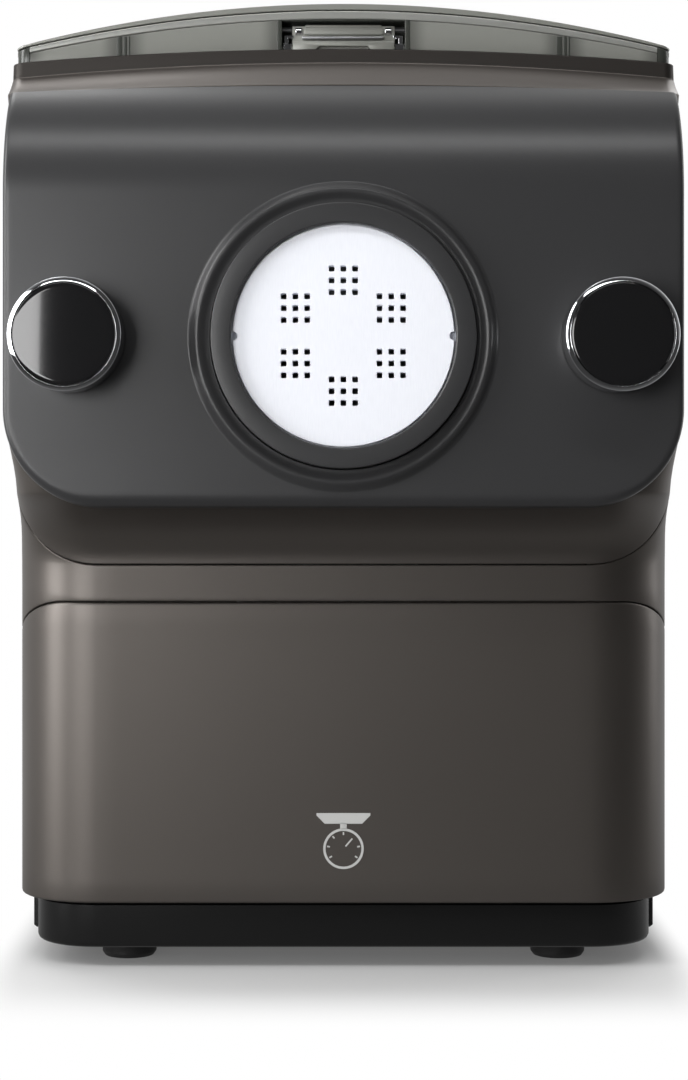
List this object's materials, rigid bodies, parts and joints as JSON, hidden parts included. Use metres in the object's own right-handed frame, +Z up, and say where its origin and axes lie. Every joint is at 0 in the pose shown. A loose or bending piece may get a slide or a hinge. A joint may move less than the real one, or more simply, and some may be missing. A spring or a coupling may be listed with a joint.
{
  "type": "electric pasta maker",
  "caption": "Upright electric pasta maker: hinged lid over a mixing chamber, front shaping disc between two locking knobs, drawer below and a weighing base.",
  "frame": {"origin": "middle of the footprint on the surface the feet stand on", "axes": "+X to the right seen from the front, +Y to the rear, +Z up; the front faces -Y"},
  "size_m": [0.21, 0.343, 0.3065],
  "materials": {
    "rubber": "soft black rubber",
    "base_black": "black moulded plastic, satin",
    "aluminium": "machined bar",
    "steel": "plain steel",
    "housing_taupe": "dark taupe, fine metallic satin",
    "panel_charcoal": "charcoal, very fine matte grain",
    "lid_grey": "warm grey, satin",
    "smoke_plastic": "smoked clear plastic",
    "clear_plastic": "clear plastic",
    "inner_plastic": "plain dark moulding",
    "paddle_plastic": "light grey moulding",
    "gloss_black": "polished black",
    "display_glass": "black display window",
    "button_grey": "grey keys",
    "circuit_board": "green board with parts",
    "disc_metal": "pale satin metal",
    "gear_plastic": "natural nylon",
    "chrome": "polished chrome"
  },
  "bodies": {
    "root": {"foot_front_left": "rubber", "foot_front_right": "rubber", "foot_rear_left": "rubber", "foot_rear_right": "rubber", "base_tray": "base_black", "load_cell_front": "aluminium", "load_cell_rear": "aluminium", "chassis_plate": "steel", "lower_housing": "housing_taupe", "upper_housing": "housing_taupe", "rear_cover": "housing_taupe", "top_cover": "lid_grey", "chamber_bed": "inner_plastic", "cord_gland": "rubber", "lid_switch": "inner_plastic", "power_board": "circuit_board", "control_fascia": "gloss_black", "display_window": "display_glass", "control_board": "circuit_board", "mixing_chamber": "clear_plastic", "extrusion_tube": "inner_plastic", "shaft_seal": "rubber", "shaping_disc": "disc_metal", "output_bearing": "steel", "gearbox_front_plate": "steel", "gearbox_rear_plate": "steel", "gear_pin_one": "steel", "gear_pin_two": "steel", "motor_end_bell": "steel", "motor_case": "steel", "motor_stator": "steel", "lock_stud_left": "steel", "lock_stud_right": "steel", "hinge_pin_left": "steel", "hinge_pin_right": "steel", "runner_left": "steel", "runner_right": "steel"},
    "rotor": {"output_gear": "gear_plastic", "drive_shaft": "steel", "mixing_paddle": "paddle_plastic"},
    "second_gear": {"gear_two": "gear_plastic"},
    "first_gear": {"gear_one": "gear_plastic"},
    "motor_rotor": {"motor_armature": "steel", "cooling_fan": "inner_plastic"},
    "panel": {"front_panel": "panel_charcoal", "disc_ring": "panel_charcoal"},
    "left_knob": {"knob_cap_left": "gloss_black", "knob_ring_left": "chrome"},
    "right_knob": {"knob_cap_right": "gloss_black", "knob_ring_right": "chrome"},
    "lid": {"lid_cover": "lid_grey", "lid_frame": "smoke_plastic", "latch_pin": "chrome"},
    "latch": {"lid_latch": "smoke_plastic"},
    "drawer": {"drawer_front": "housing_taupe", "drawer_tray": "inner_plastic"},
    "key_power": {"power_button": "button_grey"},
    "key_program": {"program_button": "button_grey"},
    "key_weigh": {"weigh_button": "button_grey"},
    "key_start": {"start_button": "button_grey"}
  },
  "joints": [
    {"name": "paddle_spin", "type": "hinge", "parent": "root", "child": "rotor", "pos_m": [0, 0.04, 0.198], "axis": [0, 1, 0], "continuous": true},
    {"name": "second_gear_spin", "type": "hinge", "parent": "root", "child": "second_gear", "pos_m": [0, 0.06, 0.15], "axis": [0, 1, 0], "continuous": true},
    {"name": "first_gear_spin", "type": "hinge", "parent": "root", "child": "first_gear", "pos_m": [0, 0.06, 0.108], "axis": [0, 1, 0], "continuous": true},
    {"name": "motor_spin", "type": "hinge", "parent": "root", "child": "motor_rotor", "pos_m": [0, 0.1, 0.072], "axis": [0, 1, 0], "continuous": true},
    {"name": "panel_slide", "type": "slide", "parent": "root", "child": "panel", "axis": [0, -1, 0], "range_m": [0, 0.06]},
    {"name": "left_knob_turn", "type": "hinge", "parent": "panel", "child": "left_knob", "pos_m": [-0.0828, -0.16, 0.1977], "axis": [0, -1, 0], "range_deg": [0, 90]},
    {"name": "right_knob_turn", "type": "hinge", "parent": "panel", "child": "right_knob", "pos_m": [0.0828, -0.16, 0.1977], "axis": [0, -1, 0], "range_deg": [0, 90]},
    {"name": "lid_hinge", "type": "hinge", "parent": "root", "child": "lid", "pos_m": [0, 0.056, 0.2975], "axis": [-1, 0, 0], "range_deg": [0, 85]},
    {"name": "latch_hinge", "type": "hinge", "parent": "lid", "child": "latch", "pos_m": [0, -0.1174, 0.299], "axis": [-1, 0, 0], "range_deg": [0, 30], "stiffness_Nm_per_rad": 0.004},
    {"name": "drawer_slide", "type": "slide", "parent": "root", "child": "drawer", "axis": [0, -1, 0], "range_m": [0, 0.12]},
    {"name": "power_press", "type": "slide", "parent": "root", "child": "key_power", "axis": [-1, 0, 0], "range_m": [0, 0.0012], "stiffness_N_per_m": 400},
    {"name": "program_press", "type": "slide", "parent": "root", "child": "key_program", "axis": [-1, 0, 0], "range_m": [0, 0.0012], "stiffness_N_per_m": 400},
    {"name": "weigh_press", "type": "slide", "parent": "root", "child": "key_weigh", "axis": [-1, 0, 0], "range_m": [0, 0.0012], "stiffness_N_per_m": 400},
    {"name": "start_press", "type": "slide", "parent": "root", "child": "key_start", "axis": [-1, 0, 0], "range_m": [0, 0.0012], "stiffness_N_per_m": 400}
  ],
  "couplings": [
    {"joint": "second_gear_spin", "follows": "paddle_spin", "ratio": -3},
    {"joint": "first_gear_spin", "follows": "paddle_spin", "ratio": 9},
    {"joint": "motor_spin", "follows": "paddle_spin", "ratio": -27}
  ]
}
